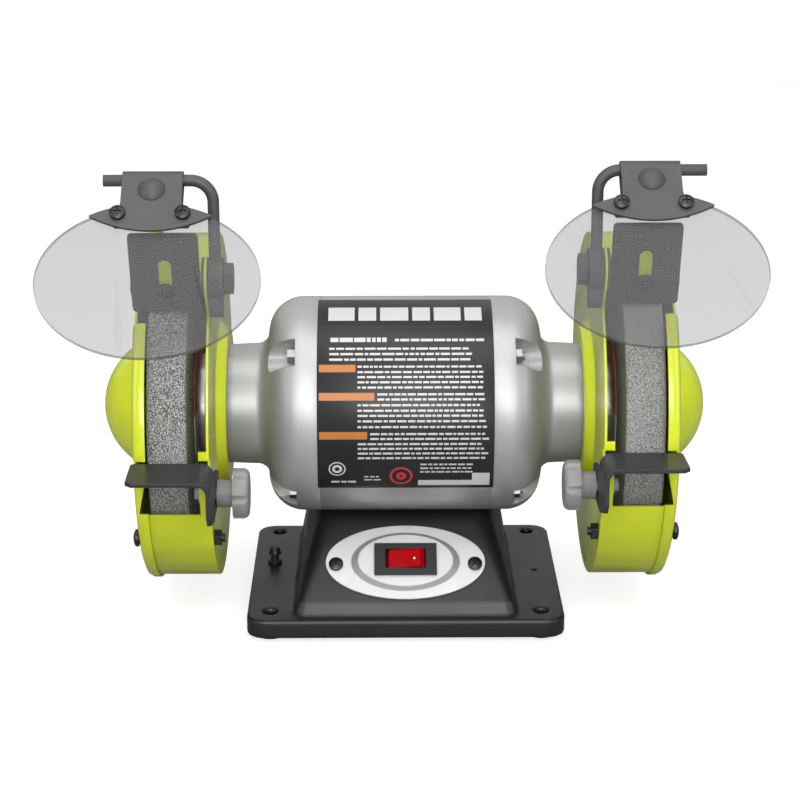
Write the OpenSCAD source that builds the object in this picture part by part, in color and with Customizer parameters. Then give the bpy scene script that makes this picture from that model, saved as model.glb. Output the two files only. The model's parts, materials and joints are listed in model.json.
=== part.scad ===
// Bench grinder with two guarded wheels on one motor spindle.
// Millimetres. Z up, X along the spindle to the right, the working front faces -Y.
// Origin: centre of the four bench bolt holes, on the bench plane under the feet.

/* [Base] */
// Half width of the base flange
flange_half_x = 77.5; // [70:0.1:84]
// Half depth of the base flange
flange_half_y = 65.7; // [60:0.1:72]
// Shift of the flange outline towards the front
flange_shift = 1.5; // [0:0.1:3]
// Corner radius of the base flange
flange_corner_r = 9; // [5:0.5:14]
// Height of the flange top above the bench
flange_top_z = 11.8; // [10:0.1:16]
// Height of the bare rubber under the base
foot_h = 2.5; // [1.5:0.1:5]
// Sheet thickness of the base
base_wall = 3; // [2.5:0.1:4]
// Half spacing of the bench bolt holes along X
bolt_half_x = 66.2; // [60:0.1:70]
// Half spacing of the bench bolt holes along Y
bolt_half_y = 54.4; // [50:0.1:58]
// Radius of the bench bolt holes
bolt_hole_r = 3.4; // [3:0.1:3.6]
// Slope of the switch panel from level
panel_slope = 40; // [30:1:50]

/* [Motor] */
// Height of the spindle above the bench
spindle_z = 101.5; // [96:0.5:110]
// Outer radius of the motor shell
motor_r = 53.5; // [50:0.1:56]
// Half length of the middle shell
shell_half = 41.5; // [40:0.1:42]
// Half length of the motor body over both end bells
bell_end_x = 67; // [62:0.1:70]
// Outer radius of the bell necks
neck_r = 29.6; // [27:0.1:32]
// Distance from the middle to each neck end
neck_end_x = 86.9; // [84:0.1:90]
// Radius of the through bolt circle
tie_circle_r = 48.2; // [47:0.1:48.6]

/* [Spindle] */
// Outer radius of the grinding wheels
wheel_r = 76.2; // [74:0.1:77]
// Thickness of the grinding wheels
wheel_w = 19.05; // [16:0.05:20]
// Distance from the middle to the inner wheel face
wheel_x = 102.5; // [100:0.1:104]
// Radius of the arbor ends
arbor_r = 6.35; // [6:0.05:6.5]
// Radius of the spindle at the bearings
journal_r = 7.5; // [7:0.1:8]

/* [Guards] */
// Distance from the middle to the inner guard plate
guard_x = 91.6; // [90:0.1:93]
// Outer radius of the inner guard wall
guard_r = 85.2; // [83:0.1:87]
// Guard sheet thickness
sheet = 1.2; // [1:0.1:1.6]
// Angle that the right guard is turned up at the front
right_turn = 3; // [0:0.5:6]

/* [Rests, spark plates and shields] */
// Lean of the spark plates towards the front
spark_lean = 19; // [10:1:25]
// Radius of the shield rods
rod_r = 2.7; // [2.4:0.1:3]
// Width of the shield lenses
lens_w = 100.6; // [90:0.2:110]
// Height of the shield lenses
lens_h = 78; // [70:0.5:86]
// Slope of the upper shield bracket
bracket_slope = 40; // [25:1:50]
// Further bend down to the lens plane
lens_bend = 5; // [0:1:25]
// Shift of the right shield along its rod towards the motor
right_shift = 3.4; // [0:0.1:3.4]
// Extra tilt of the right shield about its rod
right_tilt = 3.5; // [0:0.5:8]

/* [Hidden] */
$fn = 96;
wheel_mid = wheel_x + wheel_w / 2;
shield_x = 115.2;
clamp_y = -62;
clamp_z = 80;
rod_z = 126;
knob_y = -75;
knob_z = -20.8;
tie_angles = [45, 135, 225, 315];
cover_bolt_angles = [-35.5, 60, 180];
cover_bolt_r = 80.4;
panel_y = -60 + 22.8 * cos(panel_slope);
panel_z = 17.55 + 22.8 * sin(panel_slope);
rocker_lift = 3.4;

// ---------- helpers ----------

// Extrudes a (Y, Z) outline along X from x0 to x1.
module along_x(x0, x1) {
    translate([x0, 0, 0])
        rotate([90, 0, 90])
            linear_extrude(height = x1 - x0)
                children();
}

// Cylinder along X from x0 to x1 at (y, z).
module rod_x(x0, x1, r, y = 0, z = 0) {
    translate([x0, y, z])
        rotate([0, 90, 0])
            cylinder(h = x1 - x0, r = r);
}

// Hexagonal bar along X from x0 to x1 at (y, z).
module hex_x(x0, x1, r, y = 0, z = 0) {
    translate([x0, y, z])
        rotate([0, 90, 0])
            cylinder(h = x1 - x0, r = r, $fn = 6);
}

// Turns a (radius, X) outline around the spindle axis.
module turn_x() {
    rotate([0, 90, 0])
        rotate([0, 0, 90])
            rotate_extrude()
                children();
}

// Places children on the spindle axis, mirrored for the left side.
module coaxial(side) {
    translate([0, 0, spindle_z])
        scale([side, 1, 1])
            children();
}

// Places children of one guarded side; the right one is turned up a little.
module guarded(side) {
    translate([0, 0, spindle_z])
        rotate([side > 0 ? -right_turn : 0, 0, 0])
            scale([side, 1, 1])
                children();
}

// Places children that tilt with one eye shield about its rod.
module shielded(side) {
    guarded(side)
        translate([side > 0 ? -right_shift : 0, clamp_y, rod_z])
            rotate([side > 0 ? right_tilt : 0, 0, 0])
                translate([0, -clamp_y, -rod_z])
                    children();
}

// Point at radius r and angle a, measured up from the front.
function front_polar(r, a) = [-r * cos(a), r * sin(a)];

// Wedge between two angles measured up from the front.
module front_wedge(a0, a1, r) {
    polygon(concat([[0, 0]], [for (i = [0:12]) front_polar(r, a0 + (a1 - a0) * i / 12)]));
}

// Rectangle with rounded corners, centred.
module round_rect(half_x, half_y, r) {
    square([2 * half_x - 2 * r, 2 * half_y], center = true);
    square([2 * half_x, 2 * half_y - 2 * r], center = true);
    for (sx = [-1, 1])
        for (sy = [-1, 1])
            translate([sx * (half_x - r), sy * (half_y - r)])
                circle(r);
}

// Ellipse outline, centred.
module oval(half_x, half_y) {
    polygon([for (i = [0:71]) [half_x * cos(i * 5), half_y * sin(i * 5)]]);
}

// Pan head screw pointing down -Z, seat at z = 0.
module pan_screw(head_r, head_h, shank_r, shank_l) {
    difference() {
        intersection() {
            cylinder(h = head_h, r = head_r);
            translate([0, 0, head_h - 2 * head_r])
                sphere(r = 2 * head_r);
        }
        for (a = [0, 90])
            rotate([0, 0, a])
                translate([-head_r * 0.55, -head_r * 0.1, head_h * 0.45])
                    cube([head_r * 1.1, head_r * 0.2, head_h]);
    }
    translate([0, 0, -shank_l])
        cylinder(h = shank_l + 0.2, r = shank_r);
}

// Places children on the four bench bolt positions.
module at_corners() {
    for (sx = [-1, 1])
        for (sy = [-1, 1])
            translate([sx * bolt_half_x, sy * bolt_half_y, 0])
                children();
}

// Switch panel frame: X right, Y up the slope, Z out of the panel.
module on_panel() {
    translate([0, panel_y, panel_z])
        rotate([panel_slope, 0, 0])
            children();
}

// ---------- base ----------

// Rounded pedestal block, inset by the wall thickness for its hollow.
module pedestal_block(inset) {
    hull() {
        for (sx = [-1, 1]) {
            translate([sx * 49.5, -56.5, 9])
                cylinder(h = 3, r = 5 - inset, $fn = 32);
            translate([sx * 48.6, -55, 15.2])
                sphere(r = 5 - inset, $fn = 32);
            translate([sx * 33.5, -16.1, 37.4 - 0.5 * inset])
                sphere(r = 13 - inset, $fn = 40);
            translate([sx * 41.5, 28.4, 52 - 1.5 * inset])
                sphere(r = 6 - inset, $fn = 32);
            translate([sx * 49.5, 52, 9])
                cylinder(h = 3, r = 5 - inset, $fn = 32);
        }
    }
}

module base() {
    color([0.13, 0.13, 0.14])
    difference() {
        union() {
            translate([0, -flange_shift, foot_h])
                linear_extrude(height = flange_top_z - foot_h)
                    round_rect(flange_half_x, flange_half_y, flange_corner_r);
            pedestal_block(0);
            for (sx = [-1, 1])
                translate([sx * 66.8, -2, flange_top_z - 0.1])
                    cylinder(h = 0.5, r = 2.3);
            translate([0, 38, 22])
                rotate([-90, 0, 0])
                    cylinder(h = 18, r = 9.6);
        }
        difference() {
            translate([0, -flange_shift, foot_h - 1])
                linear_extrude(height = flange_top_z - foot_h - base_wall + 1)
                    round_rect(flange_half_x - base_wall, flange_half_y - base_wall, 6);
            at_corners()
                cylinder(h = 40, r = 8.2);
            for (sx = [-1, 1])
                translate([sx * 69, -30, foot_h + 1.05])
                    cylinder(h = 20, r = 4.5);
        }
        difference() {
            pedestal_block(base_wall);
            translate([0, 0, spindle_z])
                rod_x(-80, 80, motor_r + 0.1 + base_wall);
        }
        translate([0, 0, foot_h - 1])
            linear_extrude(height = 9)
                round_rect(48, 53, 4);
        translate([0, 0, spindle_z])
            rod_x(-80, 80, motor_r + 0.1);
        at_corners()
            cylinder(h = 40, r = bolt_hole_r);
        at_corners()
            cylinder(h = foot_h + 4.1, r = 5.1);
        for (sx = [-1, 1])
            translate([sx * 66.8, -2, 0])
                cylinder(h = 40, r = 1.3);
        translate([-66.8, 10, 0])
            cylinder(h = 40, r = 1.8);
        on_panel()
            translate([-14, -8, -12])
                cube([28, 16, 30]);
        for (sx = [-1, 1])
            on_panel()
                translate([sx * 34.1, -1.5, -12])
                    cylinder(h = 30, r = 1.7);
        for (sx = [-1, 1])
            translate([sx * 30, 8, 30])
                cylinder(h = 40, r = 2.7);
        translate([0, 30, 22])
            rotate([-90, 0, 0])
                cylinder(h = 60, r = 6.1);
        for (sx = [-1, 1])
            translate([sx * 69, -30, foot_h - 1])
                cylinder(h = 7, r = 1.45);
    }
}

module rubber_feet() {
    color([0.06, 0.06, 0.06])
    at_corners()
        difference() {
            union() {
                cylinder(h = foot_h, r = 7.6);
                cylinder(h = foot_h + 4, r = 5);
            }
            translate([0, 0, -1])
                cylinder(h = 20, r = bolt_hole_r);
        }
}

module bottom_cover() {
    color([0.3, 0.3, 0.32])
    difference() {
        translate([0, -flange_shift, foot_h])
            linear_extrude(height = 1)
                round_rect(flange_half_x - base_wall - 0.3, flange_half_y - base_wall - 0.3, 5.5);
        at_corners()
            cylinder(h = 20, r = 10.4);
        for (sx = [-1, 1])
            translate([sx * 69, -30, 0])
                cylinder(h = 20, r = 1.6);
    }
}

module bottom_cover_screws() {
    color([0.5, 0.5, 0.52])
    for (sx = [-1, 1])
        translate([sx * 69, -30, foot_h])
            rotate([180, 0, 0])
                pan_screw(3.2, 1.8, 1.4, 4);
}

module flange_plug() {
    color([0.06, 0.06, 0.06])
    translate([-66.8, 10, flange_top_z]) {
        cylinder(h = 1.6, r = 3.6);
        cylinder(h = 6, r = 2);
        translate([0, 0, 5])
            cylinder(h = 3.4, r1 = 3.3, r2 = 2.2);
        translate([0, 0, -5])
            cylinder(h = 5.5, r = 1.7);
    }
}

module cord_gland() {
    color([0.07, 0.07, 0.07])
    translate([0, 0, 22])
        difference() {
            union() {
                translate([0, 44, 0])
                    rotate([-90, 0, 0])
                        cylinder(h = 17, r = 6);
                translate([0, 56.05, 0])
                    rotate([-90, 0, 0])
                        cylinder(h = 2.4, r = 8.2);
            }
            translate([0, 40, 0])
                rotate([-90, 0, 0])
                    cylinder(h = 40, r = 3.6);
        }
}

// ---------- switch ----------

module switch_plate() {
    color([0.75, 0.75, 0.77])
    on_panel()
        difference() {
            union() {
                linear_extrude(height = 1.2)
                    oval(39.2, 20.4);
                hull() {
                    translate([0, 0, 1])
                        linear_extrude(height = 0.2)
                            oval(26.7, 16.2);
                    translate([0, 0, rocker_lift - 0.6])
                        linear_extrude(height = 0.2)
                            oval(23.4, 14.2);
                }
            }
            hull() {
                translate([0, 0, -0.2])
                    linear_extrude(height = 0.2)
                        oval(25.7, 15.2);
                translate([0, 0, rocker_lift - 1.8])
                    linear_extrude(height = 0.2)
                        oval(22.4, 13.2);
            }
            translate([-13.7, -7.7, -5])
                cube([27.4, 15.4, 20]);
            for (sx = [-1, 1])
                translate([sx * 34.1, -1.5, -5])
                    cylinder(h = 20, r = 1.9);
        }
}

module switch_plate_screws() {
    color([0.2, 0.2, 0.21])
    for (sx = [-1, 1])
        on_panel()
            translate([sx * 34.1, -1.5, 1.25])
                rotate([0, 0, 45])
                    pan_screw(3.5, 2.2, 1.6, 8);
}

module switch_housing() {
    color([0.1, 0.1, 0.1])
    on_panel()
        difference() {
            union() {
                translate([-15.3, -8.5, rocker_lift - 0.35])
                    cube([30.6, 17, 1.8]);
                translate([-13.5, -7.5, rocker_lift - 20])
                    cube([27, 15, 20]);
            }
            translate([-9.9, -5.3, rocker_lift - 6])
                cube([19.8, 10.6, 20]);
            translate([0, 6.8, rocker_lift - 0.5])
                rotate([90, 0, 0])
                    cylinder(h = 13.6, r = 1.15);
        }
}

// Rocker with a slightly hollow face, sloped ends and a pivot pin along Y.
module rocker() {
    color([0.8, 0.05, 0.08])
    on_panel()
        translate([0, 0, rocker_lift - 0.5])
            rotate([0, -9, 0]) {
                rotate([90, 0, 0])
                    linear_extrude(height = 10, center = true)
                        polygon([
                            [-7.6, 2.6], [0, 2], [7.6, 2.6], [9.3, -0.2],
                            [7, -3], [0, -4], [-7, -3], [-9.3, -0.2]
                        ]);
                rotate([90, 0, 0])
                    cylinder(h = 13.2, r = 1.1, center = true);
            }
}

// ---------- motor ----------

module motor_mount_bolts() {
    color([0.55, 0.55, 0.57])
    for (sx = [-1, 1])
        translate([sx * 30, 8, 0]) {
            translate([0, 0, 43])
                cylinder(h = 9.5, r = 2.5);
            translate([0, 0, 41])
                cylinder(h = 4, r = 5.2, $fn = 6);
        }
}

module run_capacitor() {
    color([0.85, 0.85, 0.82])
    translate([-38, 22, 22])
        rotate([0, 90, 0])
            cylinder(h = 60, r = 12);
}

module stator_shell() {
    color([0.68, 0.69, 0.7])
    difference() {
        coaxial(1)
            difference() {
                rod_x(-shell_half, shell_half, motor_r);
                rod_x(-shell_half - 1, shell_half + 1, motor_r - 2);
            }
        for (sx = [-1, 1])
            translate([sx * 30, 8, 30])
                cylinder(h = 30, r = 2.6);
    }
}

module nameplate() {
    color([0.08, 0.08, 0.08])
    coaxial(1)
        difference() {
            intersection() {
                rod_x(-42.4, 42.4, motor_r + 0.35);
                along_x(-50, 50)
                    front_wedge(-32.6, 88, 80);
            }
            rod_x(-50, 50, motor_r + 0.02);
        }
}

// Places children on the four through bolt axes, outward along local Y.
module at_ties() {
    for (a = tie_angles)
        rotate([a, 0, 0])
            translate([0, tie_circle_r, 0])
                children();
}

// Outer (radius, X) outline of an end bell, built with true arcs.
module bell_outline(cut) {
    difference() {
        union() {
            translate([0, shell_half + 0.1])
                square([motor_r - cut, 50 - shell_half - 0.1]);
            intersection() {
                translate([36.5, 50])
                    circle(17 - cut);
                translate([0, 49.9])
                    square([60, 30]);
            }
            translate([0, 49.9])
                square([36.5, 17.1 - cut]);
        }
    }
}

module end_bell() {
    difference() {
        union() {
            turn_x()
                bell_outline(0);
            turn_x()
                difference() {
                    translate([0, 66])
                        square([36.5, 7.5]);
                    translate([36.6, 73.5])
                        circle(6.5);
                }
            turn_x()
                polygon([[0, 66], [30.6, 66], [30.2, 73], [neck_r, neck_end_x], [0, neck_end_x]]);
            turn_x()
                translate([48.4, shell_half - 4])
                    square([3, 6]);
        }
        difference() {
            turn_x()
                bell_outline(3);
            at_ties()
                rod_x(40, 70, 9.9);
            rod_x(60, 90, 21);
        }
        turn_x()
            translate([0, shell_half - 6])
                square([48.4, 7]);
        at_ties()
            rod_x(53, 80, 7.4);
        at_ties()
            along_x(53, 80)
                translate([0, -7.4])
                    square([14, 14.8]);
        at_ties()
            rod_x(30, 60, 2.2);
        rod_x(40, 81.1, 17.52);
        rod_x(40, 100, 9.2);
        for (a = [90, 210, 330])
            rotate([a, 0, 0])
                rod_x(78.5, 100, 1.9, 22.5);
    }
}

module end_bell_left() {
    color([0.68, 0.69, 0.7])
    coaxial(-1)
        end_bell();
}

module end_bell_right() {
    color([0.68, 0.69, 0.7])
    coaxial(1)
        end_bell();
}

module through_bolts() {
    color([0.6, 0.6, 0.62])
    coaxial(1)
        at_ties() {
            rod_x(-53.05, 57.5, 2);
            hex_x(-56.7, -53.05, 3.9);
        }
}

module through_bolt_nuts() {
    color([0.6, 0.6, 0.62])
    coaxial(1)
        at_ties()
            difference() {
                hex_x(53.05, 56.3, 3.9);
                rod_x(50, 60, 2.05);
            }
}

module stator_core() {
    color([0.45, 0.45, 0.47])
    coaxial(1)
        difference() {
            rod_x(-25, 25, motor_r - 2.05);
            rod_x(-30, 30, 28.3);
            at_ties()
                rod_x(-30, 30, 2.3);
            for (i = [0:23])
                rotate([i * 15, 0, 0])
                    translate([-30, -2, 31])
                        cube([60, 4, 11.5]);
            for (i = [0:23])
                rotate([i * 15, 0, 0])
                    translate([-30, -1, 27])
                        cube([60, 2, 5]);
        }
}

module stator_windings() {
    color([0.72, 0.38, 0.2])
    coaxial(1) {
        for (sx = [-1, 1])
            scale([sx, 1, 1])
                difference() {
                    rod_x(25.4, 38, 44.5);
                    rod_x(25, 39, 30.5);
                }
        for (i = [0:23])
            rotate([i * 15, 0, 0])
                translate([-26, -1.8, 31.3])
                    cube([52, 3.6, 10.9]);
    }
}

// ---------- spindle ----------

module rotor_core() {
    color([0.5, 0.5, 0.52])
    coaxial(1)
        difference() {
            rod_x(-25, 25, 27.9);
            rod_x(-30, 30, 9.02);
            for (i = [0:17])
                rotate([i * 20, 0, 0])
                    rod_x(-30, 30, 2.22, 23.5);
        }
}

module rotor_cage() {
    color([0.8, 0.8, 0.82])
    coaxial(1) {
        for (sx = [-1, 1])
            scale([sx, 1, 1])
                difference() {
                    rod_x(25.05, 33, 27.4);
                    rod_x(24, 40, 16);
                }
        for (i = [0:17])
            rotate([i * 20, 0, 0])
                rod_x(-26, 26, 2.2, 23.5);
    }
}

module spindle_shaft() {
    color([0.62, 0.62, 0.64])
    coaxial(1) {
        rod_x(-97.8, 97.8, journal_r);
        rod_x(-69.9, 69.9, 9);
        rod_x(-139, 139, arbor_r);
    }
}

// Ball bearing ring profile cut by the ball track.
module ring(r0, r1) {
    turn_x()
        difference() {
            translate([r0, 70])
                square([r1 - r0, 11]);
            translate([12.5, 75.5])
                circle(3.06);
        }
}

module bearing_outer_rings() {
    color([0.75, 0.75, 0.77])
    for (side = [-1, 1])
        coaxial(side)
            ring(14.4, 17.5);
}

module bearing_inner_rings() {
    color([0.75, 0.75, 0.77])
    for (side = [-1, 1])
        coaxial(side)
            ring(journal_r + 0.01, 10.6);
}

module bearing_balls() {
    color([0.85, 0.85, 0.87])
    for (side = [-1, 1])
        coaxial(side)
            for (i = [0:7])
                rotate([i * 45, 0, 0])
                    translate([75.5, 12.5, 0])
                        sphere(r = 3);
}

module inner_wheel_flanges() {
    color([0.55, 0.55, 0.57])
    for (side = [-1, 1])
        coaxial(side)
            turn_x()
                difference() {
                    translate([arbor_r + 0.02, 97.85])
                        square([25 - arbor_r, 3.9]);
                    translate([14, 101])
                        square([5, 2]);
                }
}

module wheel_blotters() {
    color([0.8, 0.45, 0.3])
    for (side = [-1, 1])
        coaxial(side) {
            turn_x()
                translate([arbor_r + 0.05, wheel_x - 0.7])
                    square([30.5, 0.65]);
            turn_x()
                translate([arbor_r + 0.05, wheel_x + wheel_w + 0.05])
                    square([30.5, 0.65]);
        }
}

module wheel() {
    turn_x()
        difference() {
            translate([arbor_r + 0.05, wheel_x])
                square([wheel_r - arbor_r - 0.05, wheel_w]);
            for (end = [0, 1])
                translate([wheel_r, wheel_x + end * wheel_w])
                    rotate(45)
                        square(0.9, center = true);
        }
}

module wheel_left() {
    color([0.5, 0.5, 0.5])
    coaxial(-1)
        wheel();
}

module wheel_right() {
    color([0.58, 0.58, 0.58])
    coaxial(1)
        wheel();
}

module outer_wheel_flanges() {
    color([0.55, 0.55, 0.57])
    for (side = [-1, 1])
        coaxial(side)
            turn_x()
                difference() {
                    translate([arbor_r + 0.02, wheel_x + wheel_w + 0.75])
                        square([25.4 - arbor_r, 4]);
                    translate([20, wheel_x + wheel_w + 3.2])
                        square([7, 3]);
                }
}

module spindle_nuts() {
    color([0.6, 0.6, 0.62])
    for (side = [-1, 1])
        coaxial(side)
            difference() {
                hex_x(126.4, 134.6, 11);
                rod_x(120, 140, arbor_r + 0.02);
            }
}

// ---------- guards ----------

// Spark plate frame: X along the spindle, Y out of the plate, Z up the plate.
module at_spark() {
    translate([0, -49.4, 61.7])
        rotate([spark_lean, 0, 0])
            children();
}

module guard_inner() {
    difference() {
        union() {
            turn_x()
                polygon([
                    [15, neck_end_x + 0.1], [38, neck_end_x + 0.1], [41.5, guard_x - 0.4],
                    [43, guard_x], [guard_r, guard_x], [guard_r, guard_x + sheet],
                    [42, guard_x + sheet], [37.4, neck_end_x + 0.1 + sheet],
                    [15, neck_end_x + 0.1 + sheet]
                ]);
            difference() {
                turn_x()
                    translate([guard_r - sheet, guard_x])
                        square([sheet, 32.1]);
                along_x(guard_x + sheet, 140)
                    front_wedge(-21, 53.3, 120);
                along_x(101, 122)
                    front_wedge(196, 212, 120);
            }
            intersection() {
                turn_x()
                    translate([guard_r - sheet, guard_x])
                        square([sheet, 5]);
                along_x(80, 140)
                    front_wedge(-22.5, 2, 120);
            }
            at_spark()
                translate([98, 0.3, 5])
                    cube([22, 1.4, 31]);
            along_x(guard_x, guard_x + sheet) {
                rotate(180 - atan2(clamp_z, -clamp_y))
                    translate([75, -10])
                        square([26.2, 20]);
                translate([clamp_y, clamp_z])
                    circle(10);
            }
        }
        rod_x(80, 100, 4.1, clamp_y, clamp_z);
        rod_x(80, 100, 3.4, knob_y, knob_z);
        for (a = cover_bolt_angles)
            rod_x(80, 100, 2.2, -cover_bolt_r * cos(a), cover_bolt_r * sin(a));
        for (a = [90, 210, 330])
            for (turn = [-right_turn, 0, right_turn])
                rotate([a + turn, 0, 0])
                    rod_x(80, 100, 2.2, 22.5);
        translate([80, -95, -6.6])
            cube([20, 16.5, 5.4]);
        at_spark()
            translate([111.9, 5, 11.7])
                rotate([90, 0, 0])
                    cylinder(h = 10, r = 2.7);
    }
}

module guard_inner_left() {
    color([0.78, 0.84, 0.2])
    guarded(-1)
        guard_inner();
}

module guard_inner_right() {
    color([0.78, 0.84, 0.2])
    guarded(1)
        guard_inner();
}

module guard_cover() {
    difference() {
        union() {
            turn_x()
                polygon([
                    [31.05, 128.6], [60, 128.4], [83.2, 127.1], [85.4, 126.2], [86.5, 124.2],
                    [86.5, 121], [guard_r + 0.1, 121], [guard_r + 0.1, 123.9], [84.4, 125.2],
                    [82.8, 125.9], [60, 127.2], [31.05, 127.4]
                ]);
            turn_x()
                intersection() {
                    difference() {
                        translate([0, 114.7])
                            circle(34.9);
                        translate([0, 114.7])
                            circle(33.7);
                    }
                    translate([0, 127.5])
                        square([40, 40]);
                }
        }
        along_x(115, 140)
            difference() {
                front_wedge(43, 62, 120);
                circle(77);
            }
        for (a = cover_bolt_angles)
            rod_x(110, 140, 2.2, -cover_bolt_r * cos(a), cover_bolt_r * sin(a));
        translate([110, -95, -4.4])
            cube([30, 16.5, 3.2]);
        translate([0, -60, 0])
            rotate([90, 0, 0])
                linear_extrude(height = 40)
                    polygon([[119, -9], [121, -9], [125.2, -29], [119, -29]]);
    }
}

module guard_cover_left() {
    color([0.78, 0.84, 0.2])
    guarded(-1)
        guard_cover();
}

module guard_cover_right() {
    color([0.78, 0.84, 0.2])
    guarded(1)
        guard_cover();
}

module guard_cover_screws() {
    color([0.08, 0.08, 0.08])
    for (side = [-1, 1])
        guarded(side)
            for (a = cover_bolt_angles)
                translate([127.55, -cover_bolt_r * cos(a), cover_bolt_r * sin(a)])
                    rotate([0, 90, 0])
                        pan_screw(4.2, 2.8, 2, 41);
}

module guard_cover_nuts() {
    color([0.08, 0.08, 0.08])
    for (side = [-1, 1])
        guarded(side)
            for (a = cover_bolt_angles)
                translate([0, -cover_bolt_r * cos(a), cover_bolt_r * sin(a)])
                    difference() {
                        hex_x(88.1, 91.55, 4.1);
                        rod_x(80, 100, 2.05);
                    }
}

module guard_mount_screws() {
    color([0.5, 0.5, 0.52])
    for (side = [-1, 1])
        coaxial(side)
            for (a = [90, 210, 330])
                rotate([a, 0, 0])
                    translate([88.25, 22.5, 0])
                        rotate([0, 90, 0])
                            pan_screw(3.8, 2.4, 1.8, 9);
}

// ---------- spark plates ----------

module spark_plate() {
    at_spark()
        translate([111.9, 0, 0])
            rotate([90, 0, 0])
                linear_extrude(height = 1.6)
                    difference() {
                        translate([0, 21.25])
                            round_rect(16.2, 21.25, 2);
                        translate([0, 8.75])
                            circle(3.15);
                        translate([0, 25.35])
                            circle(3.15);
                        translate([-3.15, 8.75])
                            square([6.3, 16.6]);
                    }
}

module spark_plate_left() {
    color([0.28, 0.28, 0.29])
    guarded(-1)
        spark_plate();
}

module spark_plate_right() {
    color([0.28, 0.28, 0.29])
    guarded(1)
        spark_plate();
}

module spark_plate_screws() {
    color([0.35, 0.35, 0.36])
    for (side = [-1, 1])
        guarded(side)
            at_spark()
                translate([111.9, -1.9, 11.7])
                    rotate([90, 0, 0]) {
                        pan_screw(4.3, 2.6, 2.4, 8);
                        translate([0, 0, -6.5])
                            difference() {
                                cylinder(h = 2.8, r = 4.2, $fn = 6);
                                cylinder(h = 2.8, r = 2);
                            }
                    }
}

// ---------- tool rests ----------

// Bent plate: level shelf along X and a slotted leg beside the guard.
module tool_rest() {
    difference() {
        union() {
            translate([0, -87, 0])
                rotate([90, 0, 0])
                    linear_extrude(height = 28)
                        difference() {
                            union() {
                                translate([95.2, -3.7])
                                    square([32.6, 2]);
                                translate([95.2, -7.7])
                                    circle(6);
                            }
                            translate([95.2, -7.7])
                                circle(4);
                            translate([80, -20])
                                square([30, 12.3]);
                            translate([95.2, -20])
                                square([30, 16.3]);
                        }
            along_x(89.2, 91.2)
                polygon([
                    [-115, -7.6], [-115, -19.5], [-111, -23.6], [-94, -28.5], [-64, -28.5],
                    [-60, -24.5], [-60, -15.5], [-62, -13.5], [-87, -13.5], [-87, -7.6]
                ]);
        }
        rod_x(80, 100, 3.3, knob_y - 8, knob_z);
        rod_x(80, 100, 3.3, knob_y + 8, knob_z);
        translate([80, knob_y - 8, knob_z - 3.3])
            cube([20, 16, 6.6]);
        translate([127.9, -115.5, -10])
            rotate([0, 0, 45])
                cube([5, 5, 20], center = true);
        translate([127.9, -86.5, -10])
            rotate([0, 0, 45])
                cube([3, 3, 20], center = true);
    }
}

module tool_rest_left() {
    color([0.1, 0.1, 0.11])
    guarded(-1)
        tool_rest();
}

module tool_rest_right() {
    color([0.1, 0.1, 0.11])
    guarded(1)
        tool_rest();
}

// Six lobed knob with its threaded stud.
module rest_knob() {
    translate([0, knob_y, knob_z]) {
        intersection() {
            along_x(72, 81.3)
                difference() {
                    circle(14);
                    for (i = [0:5])
                        rotate(i * 60 + 55.6)
                            translate([13.3, 0])
                                circle(2.5);
                }
            turn_x() {
                translate([0, 76.7])
                    square([11.9, 8]);
                translate([0, 73.7])
                    square([8.9, 4]);
                translate([8.9, 76.7])
                    circle(3);
            }
        }
        rod_x(80, 88.8, 6.5);
        rod_x(87, 99.5, 3);
    }
}

module rest_knob_left() {
    color([0.6, 0.6, 0.6])
    guarded(-1)
        rest_knob();
}

module rest_knob_right() {
    color([0.6, 0.6, 0.6])
    guarded(1)
        rest_knob();
}

module rest_nuts() {
    color([0.5, 0.5, 0.52])
    for (side = [-1, 1])
        guarded(side)
            difference() {
                hex_x(92.85, 97.4, 5.8, knob_y, knob_z);
                rod_x(90, 100, 3.06, knob_y, knob_z);
            }
}

// ---------- eye shields ----------

module shield_arm() {
    difference() {
        union() {
            rod_x(84.3, 91.2, 9.7, clamp_y, clamp_z);
            translate([84.7, clamp_y - 4.5, clamp_z - 14])
                cube([6.2, 9, 14]);
            rod_x(84.7, 90.9, 4.5, clamp_y, clamp_z - 14);
            translate([88.2, clamp_y, clamp_z + 5])
                cylinder(h = rod_z - 10 - clamp_z - 5, r = rod_r);
            translate([98.2, clamp_y, rod_z - 10])
                rotate([90, 0, 180])
                    rotate_extrude(angle = 90)
                        translate([10, 0])
                            circle(rod_r);
            rod_x(98.2, 138, rod_r, clamp_y, rod_z);
        }
        rod_x(80, 100, 4, clamp_y, clamp_z);
    }
}

module shield_arm_left() {
    color([0.15, 0.15, 0.16])
    guarded(-1)
        shield_arm();
}

module shield_arm_right() {
    color([0.15, 0.15, 0.16])
    guarded(1)
        shield_arm();
}

module clamp_bolts() {
    color([0.15, 0.15, 0.16])
    for (side = [-1, 1])
        guarded(side) {
            hex_x(79.8, 84, 7.5, clamp_y, clamp_z);
            rod_x(83.9, 94.2, 3.92, clamp_y, clamp_z);
        }
}

module clamp_nut_plates() {
    color([0.15, 0.15, 0.16])
    for (side = [-1, 1])
        guarded(side)
            difference() {
                rod_x(92.85, 94.2, 9.7, clamp_y, clamp_z);
                rod_x(90, 100, 3.96, clamp_y, clamp_z);
            }
}

// Bracket frame: origin on the rod, -Y down the bracket, Z out of its face.
module at_rod() {
    translate([shield_x, clamp_y, rod_z])
        rotate([bracket_slope, 0, 0])
            children();
}

// Lens frame: origin on the bend line, -Y down the lens, Z out of its face.
module at_lens() {
    at_rod()
        translate([0, -16, rod_r + 0.05])
            rotate([lens_bend, 0, 0])
                children();
}

// Distance of the lens edge from the bend line at offset x.
function lens_edge(x) = 0.5 + lens_h / 2 * (1 - sqrt(1 - pow(2 * x / lens_w, 2)));

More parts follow.
